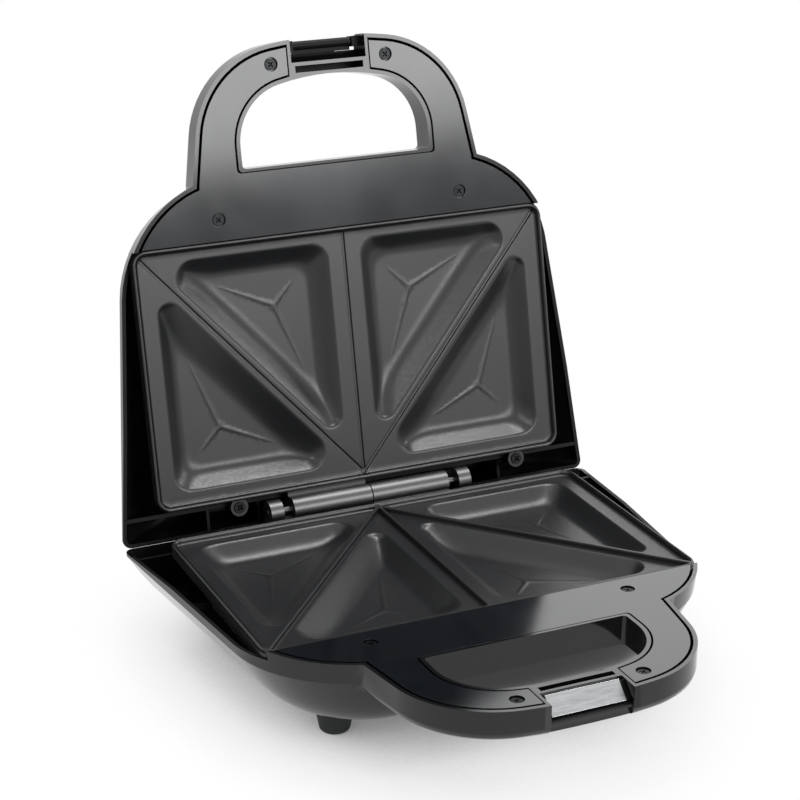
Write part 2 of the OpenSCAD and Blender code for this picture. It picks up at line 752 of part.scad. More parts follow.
module thermal_fuse() {
    color("#d8d2c4") half_base() {
        rod_x(34, 46, thermostat_y + 20, reflector_z - 2.4, 2);
        rod_x(28, 52, thermostat_y + 20, reflector_z - 2.4, 0.5);
        block(38, 42, thermostat_y + 17.4, thermostat_y + 22.6, reflector_z - 0.4, reflector_z);
    }
}

module terminal_block() {
    floor_z = -half_depth + wall;
    y = plate_back + reflector_in / 2;      // between the bulkhead and the reflector
    color("#e4dfd2") half_base() {
        difference() {
            block(terminal_x - 15, terminal_x + 15, y - terminal_t / 2, y + terminal_t / 2,
                floor_z, floor_z + 11);
            for (i = [-1:1]) {
                x = terminal_x + 10 * i;
                post(x, y, 2, floor_z + 6, floor_z + 12);
                rod_y(x, y - terminal_t, y + terminal_t, floor_z + 4.5, 1.6);
            }
        }
    }
}

module rod_y(x, y0, y1, z, r) {
    translate([x, y0, z]) rotate([-90, 0, 0]) cylinder(h = y1 - y0, r = r, $fn = 48);
}

module cord_gland() {
    color("#1d1e1f") half_base() {
        difference() {
            union() {
                rod_y(gland_x, -rear_reach, -rear_reach + 5.5, gland_z, gland_r);
                rod_y(gland_x, -rear_reach - 2, -rear_reach, gland_z, gland_r + 2);
            }
            rod_y(gland_x, -rear_reach - 3, -rear_reach + 7, gland_z, gland_bore);
        }
    }
}

// ---------------------------------------------------------------- feet and lamps

module feet() {
    color("#2e3233") half_base() {
        for (p = foot_places) translate([p[0], p[1], -half_depth - foot_h]) rotate_extrude($fn = 64) {
            polygon([[0, 0], [foot_tip_r - foot_edge_r, 0], [foot_tip_r, foot_edge_r],
                [foot_top_r, foot_h - foot_pad], [0, foot_h - foot_pad]]);
            intersection() {
                translate([foot_tip_r - foot_edge_r, foot_edge_r]) circle(r = foot_edge_r, $fn = 32);
                square([foot_tip_r, foot_edge_r]);
            }
        }
    }
}

// A domed light cover that shows through the lid's outer skin.
module lens(x) {
    translate([x, lens_y, -half_depth]) {
        cylinder(h = wall + 0.5, r = lens_r, $fn = 48);
        translate([0, 0, wall]) cylinder(h = 1, r = lens_r + 1, $fn = 48);
        intersection() {
            translate([0, 0, lens_dome_r - 1.2]) sphere(r = lens_dome_r, $fn = 64);
            translate([0, 0, -1.2]) cylinder(h = 1.2, r = lens_r, $fn = 48);
        }
    }
}

module indicator_lamps() {
    z = -half_depth + wall + 1;
    color("#e9c9a6") half_lid() {
        for (s = [-1, 1]) {
            post(s * lens_x, lens_y, lamp_r, z, z + 7);
            post(s * lens_x, lens_y, lamp_r + 1, z + 7, z + 9);
        }
    }
}

// ---------------------------------------------------------------- hinge pins and latch

// Seen in the part frame, each pin is fixed in the base and turns in the lid.
module hinge_pins() {
    pin_end = 0.6;
    color("#9a9da0") half_base() {
        rod_x(tab_x0 - pin_reach + 1, knuckle_x1 + pin_end, 0, 0, hinge_pin_r);
        rod_x(-knuckle_x1 - pin_end, -tab_x0 + pin_reach - 1, 0, 0, hinge_pin_r);
    }
}

module latch_pin() {
    color("#9a9da0") half_lid() {
        rod_x(-notch_x, notch_x, pivot[0], pivot[1], latch_pin_r);
    }
}

// Lever folded back behind the lid; it swings over to hook under the catch lip.
module latch_lever() {
    face = lever_face;
    tip = lever_tip;
    nose_y = face + lip_over;
    color("#17181a") half_lid() {
        difference() {
            union() {
                rod_x(-lever_x, lever_x, pivot[0], pivot[1], lever_barrel_r);
                block(-lever_x, lever_x, face - lever_t, face, tip, pivot[1]);
                block(-lever_x, lever_x, face - lever_t, pivot[0], pivot[1] - lever_barrel_r, pivot[1]);
                across(-lever_x + 2, lever_x - 2) polygon([[face - 0.1, tip], [nose_y, tip + 0.8],
                    [nose_y, tip + nose_t], [face - 0.1, tip + nose_t]]);
                across(-lever_x, lever_x) polygon([[face - lever_t + 0.1, tip], [face - lever_t - 3, tip],
                    [face - lever_t - 3, tip + 1.2], [face - lever_t + 0.1, tip + 3]]);
            }
            rod_x(-lever_x - 1, lever_x + 1, pivot[0], pivot[1], latch_pin_r + latch_pin_clear);
        }
    }
}

// Bright ramp that the latch nose rides over as the lid closes.
module latch_striker() {
    width = notch_x - 2;
    n = unit([ramp_foot[1] - ramp_top[1], -(ramp_foot[0] - ramp_top[0])]) * striker_t;
    color("#c9ccce") half_base() {
        across(-width, width) polygon([ramp_top, ramp_foot, ramp_foot + n, ramp_top + n]);
    }
}

// ---------------------------------------------------------------- nodes

module base_shell() { color("#151617") half_base() shell(false); }
module lid_shell() { color("#151617") half_lid() shell(true); }
module base_trim() { color("#1c1d1f") half_base() trim(); }
module lid_trim() { color("#1c1d1f") half_lid() trim(); }
module base_trim_screws() { color("#2a2b2d") half_base() trim_screw_set(); }
module lid_trim_screws() { color("#2a2b2d") half_lid() trim_screw_set(); }
module base_plate() { color("#3a3b3d") half_base() plate(false); }
module lid_plate() { color("#3a3b3d") half_lid() plate(true); }
module base_plate_screws() { color("#4a4b4d") half_base() plate_screws(false); }
module lid_plate_screws() { color("#4a4b4d") half_lid() plate_screws(true); }
module base_heater() { color("#6d6a66") half_base() heater(); }
module lid_heater() { color("#6d6a66") half_lid() heater(); }
module base_reflector() { color("#b9bcbf") half_base() reflector(); }
module lid_reflector() { color("#b9bcbf") half_lid() reflector(); }
module power_lens() { color("#b3201a") half_lid() lens(-lens_x); }
module ready_lens() { color("#2f8f3a") half_lid() lens(lens_x); }

base_shell();
base_trim();
base_trim_screws();
base_plate();
base_plate_screws();
base_heater();
base_reflector();
latch_striker();
feet();
thermostat();
thermal_fuse();
terminal_block();
cord_gland();
hinge_pins();
lid_shell();
lid_trim();
lid_trim_screws();
lid_plate();
lid_plate_screws();
lid_heater();
lid_reflector();
power_lens();
ready_lens();
indicator_lamps();
latch_pin();
latch_lever();
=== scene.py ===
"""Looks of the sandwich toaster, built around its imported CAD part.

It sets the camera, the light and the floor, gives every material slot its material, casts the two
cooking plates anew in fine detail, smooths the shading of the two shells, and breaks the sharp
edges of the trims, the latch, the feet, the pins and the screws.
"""

import json
import math

import bmesh
import bpy
from mathutils import Matrix, Vector
from mathutils.geometry import delaunay_2d_cdt


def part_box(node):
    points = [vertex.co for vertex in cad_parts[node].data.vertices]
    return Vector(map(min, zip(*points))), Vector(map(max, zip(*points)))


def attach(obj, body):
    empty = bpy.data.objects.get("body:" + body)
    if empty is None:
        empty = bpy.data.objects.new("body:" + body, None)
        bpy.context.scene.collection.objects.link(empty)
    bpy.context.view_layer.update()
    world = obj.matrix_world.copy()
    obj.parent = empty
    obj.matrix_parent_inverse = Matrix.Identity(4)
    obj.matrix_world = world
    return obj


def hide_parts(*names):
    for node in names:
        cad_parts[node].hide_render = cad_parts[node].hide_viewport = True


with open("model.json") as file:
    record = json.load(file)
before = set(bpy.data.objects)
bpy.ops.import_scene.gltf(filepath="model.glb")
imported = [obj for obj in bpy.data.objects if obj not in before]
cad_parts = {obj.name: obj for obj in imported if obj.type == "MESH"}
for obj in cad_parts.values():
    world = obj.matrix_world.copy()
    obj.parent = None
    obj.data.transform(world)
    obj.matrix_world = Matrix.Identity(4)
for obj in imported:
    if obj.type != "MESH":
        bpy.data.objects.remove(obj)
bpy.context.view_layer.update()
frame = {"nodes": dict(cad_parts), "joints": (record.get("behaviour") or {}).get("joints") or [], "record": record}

MM = 0.001
LID_JOINT = next(joint for joint in frame["joints"] if joint["name"] == "lid_hinge")
HINGE = Vector(LID_JOINT["pos_m"])
OPEN_ANGLE = math.radians(LID_JOINT["range_deg"][1])
BODIES = frame["record"]["behaviour"]["bodies"]
BODY_OF = {node: body for body, nodes in BODIES.items() for node in nodes}
SLOTS = {part["node"]: part["material_slot"] for part in frame["record"]["subparts"]}


# ---------------------------------------------------------------- the two halves

# Both halves are one shape, measured in mm: x across, y forward from the hinge axis, and depth
# under the mating face. ALONG is a half's direction of y, and IN its direction of depth.
BASE_ALONG = Vector((0, -1, 0))
BASE_IN = Vector((0, 0, -1))
LID_ALONG = Vector((0, -math.cos(OPEN_ANGLE), math.sin(OPEN_ANGLE)))
LID_IN = Vector((0, math.sin(OPEN_ANGLE), math.cos(OPEN_ANGLE)))


def base_point(x, y, depth):
    return HINGE + MM * (Vector((x, 0, 0)) + y * BASE_ALONG + depth * BASE_IN)


def lid_point(x, y, depth):
    return HINGE + MM * (Vector((-x, 0, 0)) + y * LID_ALONG + depth * LID_IN)


# ---------------------------------------------------------------- camera

# Fitted to the photo's plate outlines, hinge line and handles.
LENS_MM = 97.02
SENSOR_MM = 36.0
CLIP_START = 0.05
CAMERA_FROM_HINGE = Vector((-0.42229, -0.94925, 0.44953))
CAMERA_AZIMUTH = math.radians(-24.875)
CAMERA_ELEVATION = math.radians(20.87)
CAMERA_ROLL = math.radians(0.192)


def add_camera():
    back = Vector((
        math.sin(CAMERA_AZIMUTH) * math.cos(CAMERA_ELEVATION),
        -math.cos(CAMERA_AZIMUTH) * math.cos(CAMERA_ELEVATION),
        math.sin(CAMERA_ELEVATION),
    ))
    right = Vector((0, 0, 1)).cross(back).normalized()
    up = back.cross(right)
    c, s = math.cos(CAMERA_ROLL), math.sin(CAMERA_ROLL)
    right, up = c * right + s * up, c * up - s * right
    data = bpy.data.cameras.new("camera")
    data.lens = LENS_MM
    data.sensor_width = SENSOR_MM
    data.clip_start = CLIP_START
    camera = bpy.data.objects.new("camera", data)
    bpy.context.scene.collection.objects.link(camera)
    turn = Matrix((right, up, back)).transposed().to_4x4()
    camera.matrix_world = Matrix.Translation(HINGE + CAMERA_FROM_HINGE) @ turn
    bpy.context.scene.camera = camera


# ---------------------------------------------------------------- light and stage


LAMP_AIM = Vector((0, 0, 0.12))
# Direction from the aim, distance, width and height in metres, and radiance.
LAMPS = {
    "front_box": ((0.39, -0.92, 0.385), 2.4, (1.3, 0.8), 8.8),
    "top_box": ((0.33, 0.05, 0.94), 2.0, (0.8, 0.7), 14.0),
    "right_box": ((0.95, 0.0, 0.36), 2.0, (0.5, 0.6), 7.0),
    "left_box": ((-0.52, -0.5, 0.7), 2.0, (0.5, 0.5), 7.0),
    "back_box": ((0.6, 0.7, 0.5), 2.0, (1.0, 0.6), 1.6),
}
SKY_COLOUR = (0.97, 0.98, 1.0, 1)
SKY_STRENGTH = 0.3

FLOOR_HALF = 4.0                       # half the floor's width, in metres
PAPER_COLOUR = (0.9, 0.9, 0.9, 1)
SHADOW_REACH = 0.11                    # in metres
# How open a place on the floor is, from 0 to 1, and the paper's colour there.
SHADOW_CONTACT = (0.05, (0.16, 0.16, 0.165, 1))
SHADOW_MIDDLE = (0.45, (0.82, 0.82, 0.825, 1))
SHADOW_END = (0.78, (1, 1, 1, 1))


def add_lamp(name, towards, distance, size, radiance):
    """A rectangular soft light that faces the object from a direction."""
    width, height = size
    data = bpy.data.lights.new(name, "AREA")
    data.shape = "RECTANGLE"
    data.size, data.size_y = width, height
    data.energy = radiance * math.pi * width * height
    lamp = bpy.data.objects.new(name, data)
    bpy.context.scene.collection.objects.link(lamp)
    direction = Vector(towards).normalized()
    lamp.location = LAMP_AIM + direction * distance
    lamp.rotation_euler = direction.to_track_quat("Z", "Y").to_euler()


def mix_by_ray(tree, lighting, seen, surface):
    """Gives camera, glossy and transmission rays one shader, and the rays that light another."""
    nodes, links = tree.nodes, tree.links
    path = nodes.new("ShaderNodeLightPath")
    is_seen = path.outputs["Is Camera Ray"]
    for ray in ("Is Glossy Ray", "Is Transmission Ray"):
        either = nodes.new("ShaderNodeMath")
        either.operation = "MAXIMUM"
        links.new(is_seen, either.inputs[0])
        links.new(path.outputs[ray], either.inputs[1])
        is_seen = either.outputs[0]
    mix = nodes.new("ShaderNodeMixShader")
    links.new(is_seen, mix.inputs[0])
    links.new(lighting, mix.inputs[1])
    links.new(seen, mix.inputs[2])
    links.new(mix.outputs[0], surface)


def add_world():
    """A white background, and a dim even light from all round."""
    world = bpy.data.worlds.new("studio")
    bpy.context.scene.world = world
    world.use_nodes = True
    tree = world.node_tree
    tree.nodes.clear()
    out = tree.nodes.new("ShaderNodeOutputWorld")
    seen = tree.nodes.new("ShaderNodeBackground")
    seen.inputs["Color"].default_value = (1, 1, 1, 1)
    seen.inputs["Strength"].default_value = 1.0
    light = tree.nodes.new("ShaderNodeBackground")
    light.inputs["Color"].default_value = SKY_COLOUR
    light.inputs["Strength"].default_value = SKY_STRENGTH
    mix_by_ray(tree, light.outputs[0], seen.outputs[0], out.inputs["Surface"])


def add_floor():
    mesh = bpy.data.meshes.new("floor")
    bm = bmesh.new()
    bmesh.ops.create_grid(bm, x_segments=1, y_segments=1, size=FLOOR_HALF)
    bm.to_mesh(mesh)
    bm.free()
    floor = bpy.data.objects.new("floor", mesh)
    bpy.context.scene.collection.objects.link(floor)
    mesh.materials.append(floor_paper())


def floor_paper():
    """White paper that shows the object's soft contact shadow, as bright as the background."""
    material = bpy.data.materials.new("floor_paper")
    material.use_nodes = True
    tree = material.node_tree
    nodes, links = tree.nodes, tree.links
    paper = nodes["Principled BSDF"]
    paper.inputs["Base Color"].default_value = PAPER_COLOUR
    paper.inputs["Roughness"].default_value = 0.8
    openness = nodes.new("ShaderNodeAmbientOcclusion")
    openness.samples = 16
    openness.inputs["Distance"].default_value = SHADOW_REACH
    ramp = nodes.new("ShaderNodeValToRGB")
    stops = ramp.color_ramp.elements
    stops[0].position, stops[0].color = SHADOW_CONTACT
    stops[1].position, stops[1].color = SHADOW_END
    place, colour = SHADOW_MIDDLE
    stops.new(place).color = colour
    glow = nodes.new("ShaderNodeEmission")
    links.new(openness.outputs["AO"], ramp.inputs[0])
    links.new(ramp.outputs[0], glow.inputs["Color"])
    surface = nodes["Material Output"].inputs["Surface"]
    mix_by_ray(tree, paper.outputs[0], glow.outputs[0], surface)
    return material


# ---------------------------------------------------------------- materials

NOISE_RANGE = (0.3, 0.7)               # that a noise's values mostly lie in
TINT_RANGE = (0.35, 0.65)              # of a noise, over which a colour goes from dark to light

SHELL_BLACK = (0.004, 0.0042, 0.0048)
SHELL_SHEEN = 0.45
BARREL_R = 7.2                         # up to which the hinge barrels are satin, in mm
BARREL_FADE_R = 9.0                    # and from which the gloss is full
BARREL_ROUGH = 0.38
BARREL_SHEEN = 1.0
INNER_DEPTH = 2.5                      # under the mating face, from which faces are matt, in mm
INNER_FACING = 0.3                     # least cosine between such a face's normal and the way out
INNER_ROUGH = 0.5
INNER_SHEEN_LOSS = 0.3

# Painted shade on the screws: ambient occlusion darkens the steel's colour in the cross recesses and round the
# heads' edges.
RECESS_REACH = 2.2                     # within which a screw's faces shade each other, in mm
RECESS_OPENNESS = (0.5, 1.0)           # over which the shade goes from darkest to none
PAINTED_RECESS_SHADE = 0.04                    # the darkest, as a part of the steel's own colour


class Look:
    """A Principled material whose colour, roughness and relief come from noise."""

    def __init__(self, name, colour, rough, metallic=0.0, spec=0.5):
        self.name = name
        self.colour = colour
        self.material = bpy.data.materials.new(name)
        self.material.use_nodes = True
        self.nodes = self.material.node_tree.nodes
        self.links = self.material.node_tree.links
        self.shader = self.nodes["Principled BSDF"]
        self.shader.inputs["Base Color"].default_value = (*colour, 1)
        self.shader.inputs["Roughness"].default_value = rough
        self.shader.inputs["Metallic"].default_value = metallic
        self.shader.inputs["Specular IOR Level"].default_value = spec
        where = self.nodes.new("ShaderNodeTexCoord")
        self.place = where.outputs["Object"]
        self.facing = where.outputs["Normal"]

    def feed(self, value, name):
        """Links a socket to one of the shader's inputs."""
        self.links.new(value, self.shader.inputs[name])

    def noise(self, per_mm, detail=2.0, stretch=None):
        """A noise at a scale per mm, finer along an axis where its stretch is greater."""
        node = self.nodes.new("ShaderNodeTexNoise")
        node.inputs["Scale"].default_value = per_mm / MM
        node.inputs["Detail"].default_value = detail
        place = self.place
        if stretch:
            mapping = self.nodes.new("ShaderNodeMapping")
            mapping.inputs["Scale"].default_value = stretch
            self.links.new(place, mapping.inputs["Vector"])
            place = mapping.outputs[0]
        self.links.new(place, node.inputs["Vector"])
        return node.outputs["Fac"]

    def ranged(self, value, start, end, low, high):
        """A number that goes from low to high while a value goes from start to end."""
        node = self.nodes.new("ShaderNodeMapRange")
        node.inputs["From Min"].default_value = start
        node.inputs["From Max"].default_value = end
        node.inputs["To Min"].default_value = low
        node.inputs["To Max"].default_value = high
        self.links.new(value, node.inputs["Value"])
        return node.outputs[0]

    def vector(self, operation, value, other=(0, 0, 0)):
        """The outputs of a vector operation on a socket."""
        node = self.nodes.new("ShaderNodeVectorMath")
        node.operation = operation
        node.inputs[1].default_value = other
        self.links.new(value, node.inputs[0])
        return node.outputs

    def number(self, operation, a, b):
        """The result of an operation on two sockets or floats."""
        node = self.nodes.new("ShaderNodeMath")
        node.operation = operation
        for value, socket in ((a, node.inputs[0]), (b, node.inputs[1])):
            if isinstance(value, float):
                socket.default_value = value
            else:
                self.links.new(value, socket)
        return node.outputs[0]

    def from_hinge(self):
        """The place, measured from the hinge."""
        return self.vector("SUBTRACT", self.place, HINGE)["Vector"]

    def hinge_radius(self):
        """The distance from the hinge axis."""
        across_axis = self.vector("MULTIPLY", self.from_hinge(), (0, 1, 1))["Vector"]
        return self.vector("LENGTH", across_axis)["Value"]

    def inner_faces(self):
        """1 on a half's faces that look to its mating plane from deep inside it, else 0."""
        depths, faces = [], []
        for inwards in (LID_IN, BASE_IN):
            depth = self.vector("DOT_PRODUCT", self.from_hinge(), inwards)["Value"]
            facing = self.vector("DOT_PRODUCT", self.facing, -inwards)["Value"]
            deep = self.number("GREATER_THAN", depth, INNER_DEPTH * MM)
            looks_out = self.number("GREATER_THAN", facing, INNER_FACING)
            depths.append(depth)
            faces.append(self.number("MULTIPLY", deep, looks_out))
        outside_lid = self.number("LESS_THAN", depths[0], 0.0)
        in_base = self.number("MULTIPLY", faces[1], outside_lid)
        return self.number("MAXIMUM", faces[0], in_base)

    def tint(self, value, dark, light):
        ramp = self.nodes.new("ShaderNodeValToRGB")
        for stop, place, colour in zip(ramp.color_ramp.elements, TINT_RANGE, (dark, light)):
            stop.position = place
            stop.color = (*colour, 1)
        self.links.new(value, ramp.inputs[0])
        self.feed(ramp.outputs[0], "Base Color")

    def shade(self, value, dark, light=1.0):
        """A tint between two multiples of the look's own colour."""
        self.tint(value, [dark * c for c in self.colour], [light * c for c in self.colour])

    def roughen(self, value, low, high):
        """Roughness that a noise spreads over a range."""
        self.feed(self.ranged(value, *NOISE_RANGE, low, high), "Roughness")

    def relief(self, value, height_mm, strength):
        """Bumps of a height in mm where a value is high."""
        bump = self.nodes.new("ShaderNodeBump")
        bump.inputs["Strength"].default_value = strength
        bump.inputs["Distance"].default_value = height_mm * MM
        self.links.new(value, bump.inputs["Height"])
        self.feed(bump.outputs[0], "Normal")


def gloss_plastic(name, rough=0.1):
    """Polished plastic, with satin hinge barrels and matt inner faces."""
    look = Look(name, SHELL_BLACK, rough, spec=SHELL_SHEEN)
    look.shade(look.noise(0.02), 0.8, 1.2)
    radius = look.hinge_radius()
    inner = look.inner_faces()
    fade = (BARREL_R * MM, BARREL_FADE_R * MM)
    outer_rough = look.ranged(radius, *fade, BARREL_ROUGH, rough)
    inner_rough = look.number("MULTIPLY", inner, INNER_ROUGH)
    look.feed(look.number("MAXIMUM", outer_rough, inner_rough), "Roughness")
    sheen = look.ranged(radius, *fade, BARREL_SHEEN, SHELL_SHEEN)
    loss = look.number("MULTIPLY", inner, INNER_SHEEN_LOSS)
    look.feed(look.number("SUBTRACT", sheen, loss), "Specular IOR Level")
    look.relief(look.noise(0.03), 0.02, 0.3)
    return look


def trim_plastic(name):
    look = Look(name, (0.002, 0.0035, 0.0055), 0.12)
    look.tint(look.noise(0.03), (0.0016, 0.003, 0.0045), (0.0024, 0.004, 0.0065))
    look.roughen(look.noise(0.03, 3), 0.10, 0.14)
    look.relief(look.noise(0.02), 0.03, 0.3)
    return look


def nonstick(name):
    look = Look(name, (0.010, 0.0105, 0.0115), 0.35)
    look.tint(look.noise(0.03, 3), (0.009, 0.0095, 0.0105), (0.012, 0.0125, 0.0135))
    look.roughen(look.noise(0.6, 4), 0.31, 0.39)
    look.relief(look.noise(1.6, 3), 0.01, 0.4)
    return look


def steel(name, colour, rough, grain=(1, 1, 1)):
    look = Look(name, colour, rough, metallic=1.0)
    look.shade(look.noise(0.05, 3), 0.85)
    look.roughen(look.noise(1.2, 4, grain), rough - 0.06, rough + 0.08)
    look.relief(look.noise(2.0, 2, grain), 0.008, 0.4)
    return look


def steel_with_painted_shade(name, colour, rough):
    """Steel whose colour carries painted shade: ambient occlusion darkens it in a screw's cross recess and round
    its edge.
    """
    look = steel(name, colour, rough)
    # Painted shade: ambient occlusion scales the base colour down where faces shade each other.
    openness = look.nodes.new("ShaderNodeAmbientOcclusion")
    openness.samples = 8
    openness.inputs["Distance"].default_value = RECESS_REACH * MM
    light = look.ranged(openness.outputs["AO"], *RECESS_OPENNESS, PAINTED_RECESS_SHADE, 1.0)
    tint = look.shader.inputs["Base Color"].links[0].from_socket
    shaded = look.nodes.new("ShaderNodeVectorMath")
    shaded.operation = "SCALE"
    look.links.new(tint, shaded.inputs[0])
    look.links.new(light, shaded.inputs["Scale"])
    look.feed(shaded.outputs[0], "Base Color")
    return look


def rubber(name, colour, rough=0.65):
    look = Look(name, colour, rough, spec=0.35)
    look.shade(look.noise(0.1, 4), 0.8, 1.25)
    look.roughen(look.noise(0.5, 4), rough - 0.08, rough + 0.1)
    look.relief(look.noise(1.5, 3), 0.03, 0.5)
    return look


def moulded(name, colour, rough=0.45):
    look = Look(name, colour, rough)
    look.shade(look.noise(0.08, 4), 0.88)
    look.roughen(look.noise(0.5, 3), rough - 0.06, rough + 0.08)
    look.relief(look.noise(1.0, 3), 0.02, 0.4)
    return look


def lens(name, colour):
    look = Look(name, colour, 0.12)
    look.shader.inputs["Transmission Weight"].default_value = 0.55
    look.roughen(look.noise(0.4, 3), 0.08, 0.18)
    look.relief(look.noise(0.5, 1), 0.02, 0.3)
    return look


def make_materials():
    """The material of each slot in the record, by the slot's name."""
    looks = (
        gloss_plastic("shell_plastic"),
        gloss_plastic("lever_plastic", rough=0.2),
        trim_plastic("trim_plastic"),
        # screw steel, with painted shade in its cross recesses and round its heads
        steel_with_painted_shade("screw_steel", (0.022, 0.0225, 0.024), 0.34),
        nonstick("nonstick_coating"),
        steel("striker_steel", (0.36, 0.365, 0.37), 0.34, (0.1, 1, 1)),
        steel("pin_steel", (0.06, 0.062, 0.065), 0.36, (0.1, 1, 1)),
        steel("heater_sheath", (0.32, 0.30, 0.28), 0.5),
        steel("reflector_sheet", (0.70, 0.71, 0.72), 0.35, (0.05, 1, 1)),
        steel("thermostat_steel", (0.55, 0.54, 0.50), 0.35),
        rubber("foot_rubber", (0.030, 0.033, 0.033)),
        rubber("gland_rubber", (0.018, 0.018, 0.019)),
        moulded("fuse_ceramic", (0.72, 0.68, 0.60), 0.3),
        moulded("terminal_plastic", (0.75, 0.72, 0.65)),
        lens("red_lens", (0.45, 0.02, 0.015)),
        lens("green_lens", (0.03, 0.30, 0.06)),
        lens("lamp_glass", (0.80, 0.72, 0.62)),
    )
    return {look.name: look.material for look in looks}


# ---------------------------------------------------------------- pieces from CAD nodes

WELD = 0.002                           # widest seam closed in a CAD mesh, in mm
FLAT_ANGLE = 0.4                       # degrees between faces that are really one
EDGE_ANGLE = 35                        # degrees from which an edge is broken
SMOOTH_ANGLE = 30                      # degrees up to which shading is smooth
PLATE_SMOOTH_ANGLE = 22


def new_object(name, bm, node):
    """A visible piece that stands for a CAD node, with its body and finish."""
    mesh = bpy.data.meshes.new(name)
    bm.to_mesh(mesh)
    bm.free()
    mesh.materials.append(MATERIALS[SLOTS[node]])
    piece = bpy.data.objects.new(name, mesh)
    bpy.context.scene.collection.objects.link(piece)
    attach(piece, BODY_OF[node])
    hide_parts(node)
    return piece


def apply_modifiers(piece):
    graph = bpy.context.evaluated_depsgraph_get()
    mesh = bpy.data.meshes.new_from_object(piece.evaluated_get(graph))
    piece.modifiers.clear()
    old = piece.data
    piece.data = mesh
    bpy.data.meshes.remove(old)


def welded(node):
    """A copy of a CAD node's mesh with its seams closed and its flat faces whole."""
    bm = bmesh.new()
    bm.from_mesh(frame["nodes"][node].data)
    bmesh.ops.remove_doubles(bm, verts=bm.verts, dist=WELD * MM)
    flat = math.radians(FLAT_ANGLE)
    bmesh.ops.dissolve_limit(bm, angle_limit=flat, verts=bm.verts, edges=bm.edges, delimit={"NORMAL"})
    return bm


def rounded_piece(node, width, segments=2):
    """The CAD node with its sharp edges broken to a width in mm, as on a moulding or pressing."""
    piece = new_object(node + "_skin", welded(node), node)
    if width:
        bevel = piece.modifiers.new("bevel", "BEVEL")
        bevel.width = width * MM
        bevel.segments = segments
        bevel.limit_method = "ANGLE"
        bevel.angle_limit = math.radians(EDGE_ANGLE)
        bevel.use_clamp_overlap = True
        bevel.miter_outer = "MITER_ARC"
        apply_modifiers(piece)
    smooth_by_angle(piece, SMOOTH_ANGLE)


def smooth_by_angle(piece, degrees):
    """Smooth shading up to an angle, in which larger faces weigh more."""
    piece.data.shade_smooth()
    piece.data.set_sharp_from_angle(angle=math.radians(degrees))
    weighted = piece.modifiers.new("weighted", "WEIGHTED_NORMAL")
    weighted.mode = "FACE_AREA"
    weighted.keep_sharp = True
    apply_modifiers(piece)


# ---------------------------------------------------------------- cooking plates

# In mm. A pocket is one of the four triangular wells, and a divider is the strip between two.
PLATE_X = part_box("base_plate")[1].x / MM
PLATE_BACK = 9.25                      # rear and front edges, without the screw ears
PLATE_FRONT = 141.15
PLATE_R = 7.0                          # of the outline's corners
PLATE_LEAST_R = 0.6                    # of a loop's corners inside the outline
PLATE_THICK = 2.2
CREST = 0.7                            # depths under the mating face: the border's top,
FIELD = 3.4                            # the flat field,
SKIRT = 7.5                            # and the outer wall's lower edge
BORDER_W = 2.8
DIVIDER_W = 1.6
LAND = 2.7                             # flat strip between a divider and a pocket
POCKET_MIDDLE = 9.3                    # from the plate's middle to a pocket
POCKET_FRONT = 7.2                     # from the plate's front, side and rear to a pocket
POCKET_SIDE = 10.8
POCKET_REAR = 8.5

# Cross-sections, as distance and height or depth. BORDER starts at the plate's outline and goes
# down from the crest. BLADE and SLOT start at a divider's middle line.
BORDER = (
    (0.0, 0.45), (0.12, 0.18), (0.35, 0.0), (0.85, 0.0), (1.1, 0.12),
    (1.3, 0.4), (2.3, 2.2), (2.6, 2.52), (3.2, FIELD - CREST),
)
BLADE = ((0.0, 2.5), (0.5, 2.5), (0.72, 2.38), (0.85, 2.1), (1.02, 0.35), (1.15, 0.1), (1.4, 0.0))
SLOT = ((0.0, 1.0), (0.5, 1.0), (0.66, 0.85), (0.8, 0.25), (0.92, 0.06), (1.1, 0.0))
SLOT_START = 1.6                       # inside the outline, where the slots begin to sink in
SLOT_FADE = 0.8
BLADE_LEAD = 0.3                       # that a divider starts before its corner
MIDDLE_HALF = 1.5                      # half width of the strip that holds the middle divider
BORDER_ONLY = 1.0                      # inside the outline, up to where there's only the border

# Where a cooking face has its points.
CONTOURS = (-1.2, -0.8, -0.5, -0.25, 0.0, 0.25, 0.5, 0.8, 1.2, 1.8)    # inside a pocket's outline
FIELD_LOOPS = (1.8, 5.0)               # inside the plate's outline, besides the border's own
GRID = 1.7                             # between points inside a pocket
GRID_ROW = 0.866 * GRID                # between their rows
GRID_INSET = 2.3                       # of the first point from a pocket's outline
LINE_STEP = 4.0                        # longest step along a line
RIB_STEP = 2.0
RIB_CLEAR = 0.7                        # from a rib's foot to the nearest grid point
RIB_CLEAR_TIP = 0.8
RIB_CLEAR_ROOT = 1.5
PLATE_STEPS = 7                        # of an arc at the plate's corners
POCKET_STEPS = 9                       # of an arc at a pocket's corners
DIVIDER_RUN_ON = 1.2                   # of a divider's lines past its length
DIVIDER_END = 2.2                      # from the plate's edge to the middle divider's lines
SAME_POINT = 1e-4                      # gap under which two of the sheet's points are one
SAME_VERTEX = 0.01                     # and two vertices of its halves

EAR_OVERLAP = 0.4                      # of the CAD node's screw ears with the casting

DIV_START = Vector((0, PLATE_BACK + BORDER_W))
DIV_RUN = Vector((PLATE_X - BORDER_W, PLATE_FRONT - PLATE_BACK - 2 * BORDER_W))
DIV_DIR = DIV_RUN.normalized()
DIV_NORMAL = Vector((-DIV_DIR.y, DIV_DIR.x))


def off_divider(p):
    """Signed distance from the slanting divider's middle line."""
    return (p - DIV_START).dot(DIV_NORMAL)


